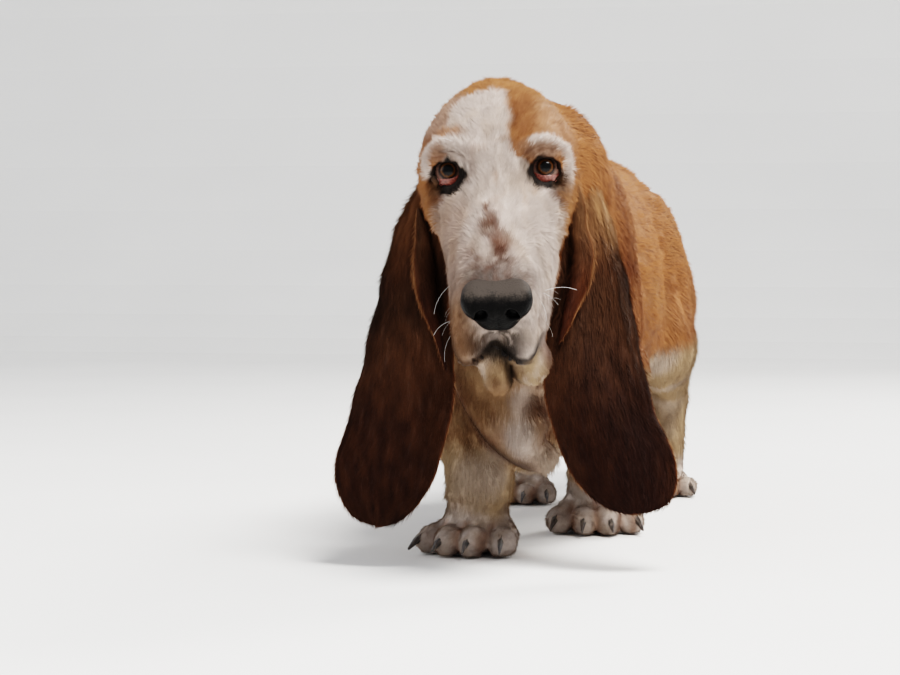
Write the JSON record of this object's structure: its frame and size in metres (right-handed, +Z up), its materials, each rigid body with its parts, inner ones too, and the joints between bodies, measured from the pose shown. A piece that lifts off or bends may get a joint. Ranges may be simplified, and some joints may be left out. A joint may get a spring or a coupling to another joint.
{
  "type": "basset hound figure",
  "caption": "Life-size still model of a long-bodied, short-legged hound with hanging ears, walking with its head low.",
  "frame": {"origin": "on the floor, under the middle of the hound's box", "axes": "+X towards the hound's left side, +Y from its head towards its tail, +Z up"},
  "size_m": [0.2718, 0.9454, 0.3946],
  "materials": {
    "coat_face": "short white and pale tan hair",
    "coat_tan": "short orange-tan hair",
    "coat_white": "short cream-white hair",
    "ear_brown": "short, soft, dark red-brown hair",
    "eye": "wet and glossy",
    "nose_leather": "moist pebbled black skin",
    "claw": "dark horn"
  },
  "bodies": {
    "root": {"head": "coat_face", "nose": "nose_leather", "neck": "coat_tan", "torso": "coat_tan", "tail": "coat_tan", "ear_left": "ear_brown", "ear_right": "ear_brown", "eye_left": "eye", "eye_right": "eye", "foreleg_left": "coat_white", "foreleg_right": "coat_white", "hindleg_left": "coat_white", "hindleg_right": "coat_white", "forepaw_left": "coat_white", "forepaw_right": "coat_white", "hindpaw_left": "coat_white", "hindpaw_right": "coat_white", "claw_forepaw_left_1": "claw", "claw_forepaw_left_2": "claw", "claw_forepaw_left_3": "claw", "claw_forepaw_left_4": "claw", "claw_forepaw_right_1": "claw", "claw_forepaw_right_2": "claw", "claw_forepaw_right_3": "claw", "claw_forepaw_right_4": "claw", "claw_hindpaw_left_1": "claw", "claw_hindpaw_left_2": "claw", "claw_hindpaw_left_3": "claw", "claw_hindpaw_left_4": "claw", "claw_hindpaw_right_1": "claw", "claw_hindpaw_right_2": "claw", "claw_hindpaw_right_3": "claw", "claw_hindpaw_right_4": "claw"}
  },
  "joints": []
}
